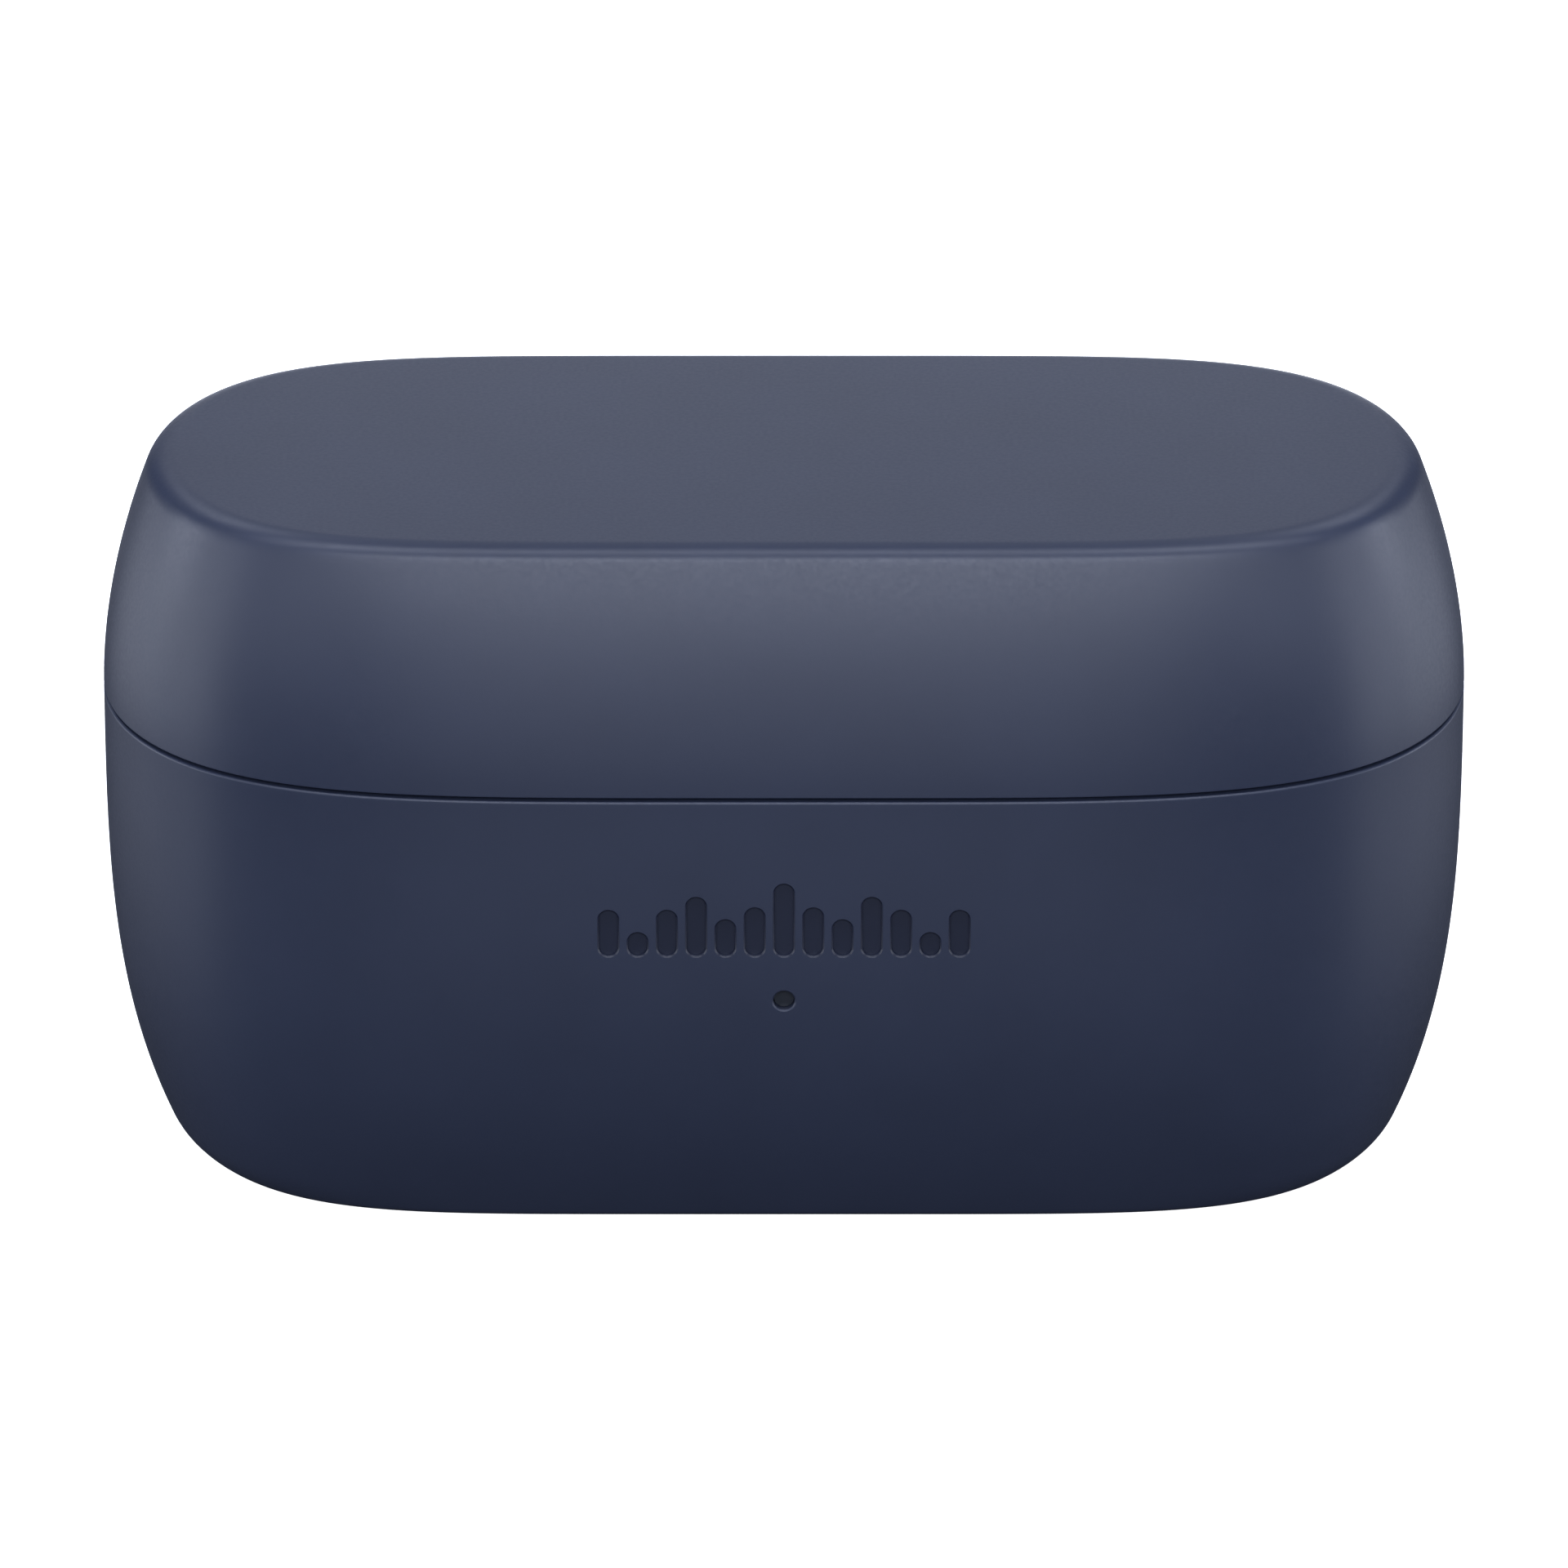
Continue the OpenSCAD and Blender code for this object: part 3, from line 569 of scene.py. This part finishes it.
def make_usb_shell():
    """Folded steel shell of the charging port, rounded at its mouth."""
    half_w, half_h = USB_HIGH[0], USB_HIGH[2] - USB_Z
    back, mouth = USB_LOW[1], USB_HIGH[1]
    near_mouth = mouth - 2
    quarter = np.linspace(0, math.pi / 2, 5)
    sines, cosines = USB_EDGE * (1 - np.sin(quarter)), USB_EDGE * (1 - np.cos(quarter))
    profile = [(back, USB_WALL), (back, 0), (near_mouth, 0)]
    profile += [(mouth - s, c) for s, c in zip(sines, cosines)]
    profile += [(mouth - c, USB_WALL - s) for s, c in zip(sines, cosines)]
    profile += [(near_mouth, USB_WALL)]
    rings = [xz_ring(oblong(half_w - inset, half_h - inset), y, z=USB_Z) for y, inset in profile]
    obj = new_object("usb_shell_body", *loft(rings, tube=True))
    finish_piece(obj, "base", "usb_shell", "steel")


def make_usb_contacts():
    """Two rows of contact pads let into the tongue of the charging port."""
    pads, pitch, half_w, length, sunk, proud, draft = 12, 0.5, 0.13, 3.2, 0.05, 0.025, 0.02
    near = mm_box("usb_insulator")[1][1] - 0.35
    far = near - length
    solids = []
    for k in range(pads):
        x = (k - (pads - 1) / 2) * pitch
        for way in (1, -1):
            face_z = USB_Z + way * TONGUE_HALF_T
            rings = []
            for z, shrink in ((face_z - way * sunk, 0), (face_z + way * proud, draft)):
                w, y = half_w - shrink, near - shrink
                rings.append([(x - w, far, z), (x + w, far, z), (x + w, y, z), (x - w, y, z)])
            solids.append(loft(rings))
    obj = new_object("usb_contacts", *joined(solids))
    finish_piece(obj, "base", None, "gold")


def make_contact_spring(place):
    """Spring of one charging contact, wound with closed ends."""
    node = f"contact_spring_{place}"
    low, high = mm_box(node)
    bottom, top = low[2] + WIRE_D / 2, high[2] - WIRE_D / 2
    seat, plunger = low[2] - 0.02, mm_box(f"contact_plunger_{place}")[0][2]
    centre = (low + high) / 2
    coil_r = (high[0] - low[0] - WIRE_D) / 2
    turns = np.linspace(0, SPRING_TURNS, SPRING_TURNS * 28 + 1)
    closed = WIRE_D + 0.01
    bends = [0, 1, SPRING_TURNS - 1, SPRING_TURNS]
    heights = np.interp(turns, bends, [bottom, bottom + closed, top - closed, top])
    section = np.linspace(0, 2 * math.pi, 12, endpoint=False)
    rings = []
    for t, z in zip(turns, heights):
        out = coil_r + WIRE_D / 2 * np.cos(section)
        x, y = centre[0] + out * math.cos(2 * math.pi * t), centre[1] + out * math.sin(2 * math.pi * t)
        rings.append(np.stack([x, y, z + WIRE_D / 2 * np.sin(section)], axis=1))
    obj = new_object(f"{node}_wire", *loft(rings))
    finish_piece(obj, "base", node, "steel", angle=60)
    anchor = Vector((centre * MM).tolist())
    anchor.z = seat * MM
    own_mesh(obj)


# ---- materials ----


def new_material(name, colour, roughness, metallic=0.0):
    material = bpy.data.materials.new(name)
    material.use_nodes = True
    shader = material.node_tree.nodes["Principled BSDF"]
    shader.inputs["Base Color"].default_value = (*colour, 1)
    shader.inputs["Roughness"].default_value = roughness
    shader.inputs["Metallic"].default_value = metallic
    return material, shader


def noise(material, per_metre, detail=3.0, stretch=(1, 1, 1)):
    """Noise texture in the object's own metres."""
    nodes, links = material.node_tree.nodes, material.node_tree.links
    place = nodes.new("ShaderNodeTexCoord")
    mapping = nodes.new("ShaderNodeMapping")
    mapping.inputs["Scale"].default_value = stretch
    texture = nodes.new("ShaderNodeTexNoise")
    texture.inputs["Scale"].default_value = per_metre
    texture.inputs["Detail"].default_value = detail
    links.new(place.outputs["Object"], mapping.inputs["Vector"])
    links.new(mapping.outputs["Vector"], texture.inputs["Vector"])
    return texture.outputs["Fac"]


def spread(material, value, low, high):
    """Maps noise, which lies mostly between 0.3 and 0.7, to low..high."""
    nodes, links = material.node_tree.nodes, material.node_tree.links
    remap = nodes.new("ShaderNodeMapRange")
    remap.inputs["From Min"].default_value = 0.3
    remap.inputs["From Max"].default_value = 0.7
    remap.inputs["To Min"].default_value = low
    remap.inputs["To Max"].default_value = high
    links.new(value, remap.inputs["Value"])
    return remap.outputs["Result"]


def blend_colour(material, value, first, second):
    nodes, links = material.node_tree.nodes, material.node_tree.links
    mix = nodes.new("ShaderNodeMix")
    mix.data_type = "RGBA"
    mix.inputs["A"].default_value = (*first, 1)
    mix.inputs["B"].default_value = (*second, 1)
    links.new(value, mix.inputs["Factor"])
    return mix.outputs["Result"]


def bump(material, shader, value, height, strength):
    """Bump of the given height in metres."""
    nodes, links = material.node_tree.nodes, material.node_tree.links
    node = nodes.new("ShaderNodeBump")
    node.inputs["Distance"].default_value = height
    node.inputs["Strength"].default_value = strength
    links.new(value, node.inputs["Height"])
    links.new(node.outputs["Normal"], shader.inputs["Normal"])


def scaled(colour, factor):
    return tuple(min(1, c * factor) for c in colour)


def textured(name, colour, roughness, grain, metallic=0.0, shade_by=0.06, rough_by=0.05, height=1e-5,
             strength=0.3, mottle=180, stretch=(1, 1, 1)):
    """Surface with slow mottling in colour, uneven roughness and a fine grain.

    grain and mottle are cells a metre, shade_by and rough_by are how far colour and roughness vary, and
    height and strength are the grain's bump.
    """
    material, shader = new_material(name, colour, roughness, metallic)
    links = material.node_tree.links
    slow = spread(material, noise(material, mottle), 0, 1)
    tint = blend_colour(material, slow, scaled(colour, 1 - shade_by), scaled(colour, 1 + shade_by))
    links.new(tint, shader.inputs["Base Color"])
    fine = noise(material, grain, 2.0, stretch)
    uneven = spread(material, fine, roughness - rough_by, roughness + rough_by)
    links.new(uneven, shader.inputs["Roughness"])
    bump(material, shader, fine, height, strength)
    return material, shader


def math_node(material, operation, *values):
    """Math node on numbers and sockets."""
    nodes, links = material.node_tree.nodes, material.node_tree.links
    node = nodes.new("ShaderNodeMath")
    node.operation = operation
    for socket, value in zip(node.inputs, values):
        if isinstance(value, (int, float, np.floating)):
            socket.default_value = value
        else:
            links.new(value, socket)
    return node.outputs["Value"]


def height_band(material, middle, reach):
    """Mask that is 1 at a height in mm and fades to 0 within reach of it."""
    nodes, links = material.node_tree.nodes, material.node_tree.links
    place = nodes.new("ShaderNodeTexCoord")
    split = nodes.new("ShaderNodeSeparateXYZ")
    links.new(place.outputs["Object"], split.inputs["Vector"])
    away = math_node(material, "SUBTRACT", split.outputs["Z"], middle * MM)
    remap = nodes.new("ShaderNodeMapRange")
    remap.interpolation_type = "SMOOTHSTEP"
    remap.inputs["From Max"].default_value = reach * MM
    remap.inputs["To Min"].default_value = 1
    remap.inputs["To Max"].default_value = 0
    links.new(math_node(material, "ABSOLUTE", away), remap.inputs["Value"])
    return remap.outputs["Result"]


def satin_shell(name, colour, roughness):
    """Satin moulded plastic, polished in patches along the parting line and the top edge."""
    material, shader = textured(name, colour, roughness, 5200, shade_by=0.04, rough_by=0.04, height=8e-6,
                                strength=0.35)
    links = material.node_tree.links
    lips = height_band(material, SEAM_Z, 0.35)
    rim = height_band(material, HEIGHT - 0.45, 0.4)
    edges = math_node(material, "MAXIMUM", lips, rim)
    patches = spread(material, noise(material, 420, 4.0), 0, 1)
    worn = math_node(material, "MULTIPLY", edges, patches)
    plain_colour = shader.inputs["Base Color"].links[0].from_socket
    plain_rough = shader.inputs["Roughness"].links[0].from_socket
    mix = material.node_tree.nodes.new("ShaderNodeMix")
    mix.data_type = "RGBA"
    mix.inputs["B"].default_value = (*scaled(colour, 1.15), 1)
    links.new(worn, mix.inputs["Factor"])
    links.new(plain_colour, mix.inputs["A"])
    links.new(mix.outputs["Result"], shader.inputs["Base Color"])
    polish = math_node(material, "MULTIPLY", worn, 0.05)
    links.new(math_node(material, "SUBTRACT", plain_rough, polish), shader.inputs["Roughness"])
    return material


Finish = namedtuple("Finish", "colour roughness grain more", defaults=({},))
FINISHES = {
    "mark_recess": Finish((0.014, 0.018, 0.036), 0.36, 6000,
                          dict(shade_by=0.05, rough_by=0.03, height=6e-6, strength=0.2)),
    "inner_trim": Finish((0.020, 0.024, 0.048), 0.5, 3800,
                         dict(shade_by=0.05, rough_by=0.06, height=1.4e-5, strength=0.4)),
    "foam": Finish((0.02, 0.02, 0.022), 0.9, 2500, dict(height=4e-5, strength=0.6)),
    "battery_foil": Finish((0.62, 0.63, 0.65), 0.35, 900, dict(metallic=1.0, height=2e-5, strength=0.4)),
    "circuit_board": Finish((0.02, 0.10, 0.06), 0.4, 1500, dict(shade_by=0.15)),
    "red_wire": Finish((0.45, 0.02, 0.02), 0.5, 3000),
    "black_wire": Finish((0.015, 0.015, 0.015), 0.5, 3000),
    "white_plastic": Finish((0.78, 0.77, 0.72), 0.45, 3000),
    "black_plastic": Finish((0.02, 0.02, 0.022), 0.55, 4000),
    "steel": Finish((0.46, 0.46, 0.48), 0.33, 2600, dict(metallic=1.0, rough_by=0.08, stretch=(0.1, 1, 1))),
    "hinge_metal": Finish((0.030, 0.034, 0.060), 0.42, 4200, dict(shade_by=0.08, rough_by=0.06)),
    "ferrite": Finish((0.10, 0.10, 0.11), 0.6, 3500),
    "ceramic_parts": Finish((0.45, 0.36, 0.25), 0.5, 3500),
    "clear_plastic": Finish((0.024, 0.028, 0.036), 0.16, 3000,
                            dict(rough_by=0.04, height=4e-6, strength=0.1)),
    "flex_film": Finish((0.45, 0.22, 0.06), 0.3, 2500),
    "nickel": Finish((0.66, 0.65, 0.62), 0.2, 3000, dict(metallic=1.0)),
    "gold": Finish((0.83, 0.60, 0.26), 0.22, 5000,
                   dict(metallic=1.0, rough_by=0.06, height=3e-6, strength=0.15)),
}


def make_materials():
    materials = {"navy_shell": satin_shell("navy_shell", (0.0264, 0.0337, 0.0608), 0.41)}
    for name, finish in FINISHES.items():
        material, _ = textured(name, finish.colour, finish.roughness, finish.grain, **finish.more)
        materials[name] = material
    return materials


def dress_cad_nodes():
    """Gives each CAD node the material of its slot in the record."""
    slots = {part["node"]: part["material_slot"] for part in frame["record"]["subparts"]}
    for name, obj in frame["nodes"].items():
        if not obj.material_slots:
            obj.data.materials.append(None)
        for slot in obj.material_slots:
            slot.material = MATERIALS[slots[name]]


# ---- studio ----

CAMERA_ELEVATION = math.radians(24.31)
CAMERA_DISTANCE = 671
CAMERA_TARGET_Z = 17.33
CAMERA_LENS = 325.4

LAMP_COLOUR = (0.915, 0.968, 1.117)
Lamp = namedtuple("Lamp", "azimuth elevation power distance width height", defaults=(900, 330, 330))
# Azimuth 0 is in front of the case and 90 on its right. Lamps off the middle have a twin on the left.
LAMPS = [
    Lamp(0, -10, 0.379), Lamp(0, 10, 0.542), Lamp(0, 30, 1.841), Lamp(20, 30, 1.178),
    Lamp(40, 10, 0.570), Lamp(45, 70, 1.668), Lamp(60, 50, 0.657), Lamp(70, 10, 0.906),
    Lamp(80, -10, 0.776), Lamp(100, -10, 0.339), Lamp(100, 10, 1.617), Lamp(110, -10, 0.451),
    Lamp(130, -10, 0.375), Lamp(140, 50, 1.004), Lamp(160, 30, 0.206), Lamp(168, -10, 0.1),
    Lamp(180, -10, 0.8), Lamp(180, 50, 0.175), Lamp(180, 15, 0.008, 150, 200, 60),
    Lamp(180, 20, 0.009, 120, 80, 50),
]


def direction(azimuth, elevation):
    return np.array([
        math.sin(azimuth) * math.cos(elevation),
        -math.cos(azimuth) * math.cos(elevation),
        math.sin(elevation),
    ])


def aim(obj, place, target):
    obj.location = Vector(place * MM)
    obj.rotation_euler = Vector((target - place).tolist()).to_track_quat("-Z", "Y").to_euler()


def make_camera():
    data = bpy.data.cameras.new("camera")
    data.lens = CAMERA_LENS
    data.sensor_width = 36
    data.clip_start = 0.01
    data.clip_end = 50
    camera = bpy.data.objects.new("camera", data)
    bpy.context.scene.collection.objects.link(camera)
    target = np.array([0, 0, CAMERA_TARGET_Z])
    aim(camera, target + CAMERA_DISTANCE * direction(0, CAMERA_ELEVATION), target)
    bpy.context.scene.camera = camera


def make_lamp(lamp):
    for azimuth in sorted({lamp.azimuth, -lamp.azimuth % 360}):
        name = f"lamp_{azimuth}_{lamp.elevation % 360}"
        data = bpy.data.lights.new(name, "AREA")
        data.shape = "RECTANGLE"
        data.size = lamp.width * MM
        data.size_y = lamp.height * MM
        data.energy = lamp.power
        data.color = LAMP_COLOUR
        obj = bpy.data.objects.new(name, data)
        obj.visible_camera = False
        bpy.context.scene.collection.objects.link(obj)
        target = np.array([0, 0, HEIGHT / 2])
        toward = direction(math.radians(azimuth), math.radians(lamp.elevation))
        aim(obj, target + lamp.distance * toward, target)


def make_floor():
    """White floor that curves up into a wall all round."""
    radius, curve, wall, sides = 1500, 600, 2500, 96
    turns = np.linspace(0, 2 * math.pi, sides, endpoint=False)
    round_plan = np.stack([np.cos(turns), np.sin(turns), np.zeros(sides)], axis=1)
    profile = [(radius * k / 4, 0) for k in range(1, 5)]
    for g in np.linspace(0, math.pi / 2, 13)[1:]:
        profile.append((radius + curve * math.sin(g), curve - curve * math.cos(g)))
    profile.append((radius + curve, wall))
    rings = [round_plan * r + [0, 0, cad_low.z / MM + z] for r, z in profile]
    verts, faces = loft(rings)
    floor = new_object("floor", verts[:-1], faces[:-sides])  # without the fan at the top of the wall
    material, shader = new_material("floor", (0.9, 0.9, 0.9), 0.8)
    shader.inputs["Emission Color"].default_value = (1, 1, 1, 1)
    shader.inputs["Emission Strength"].default_value = 1.0
    floor.data.materials.append(material)
    floor.visible_diffuse = False
    floor.visible_glossy = False
    floor.visible_shadow = False


def make_world():
    world = bpy.data.worlds.new("studio")
    bpy.context.scene.world = world
    world.use_nodes = True
    background = world.node_tree.nodes["Background"]
    background.inputs["Color"].default_value = (1, 1, 1, 1)
    background.inputs["Strength"].default_value = 0.02


MATERIALS = make_materials()
make_camera()
for lamp in LAMPS:
    make_lamp(lamp)
make_floor()
make_world()
bpy.context.scene.view_settings.view_transform = "Standard"
dress_cad_nodes()
make_base_shell()
make_lid_shell()
make_cradle_tray()
make_lid_liner()
make_usb_shell()
make_usb_contacts()
for place in CONTACTS:
    make_contact_spring(place)
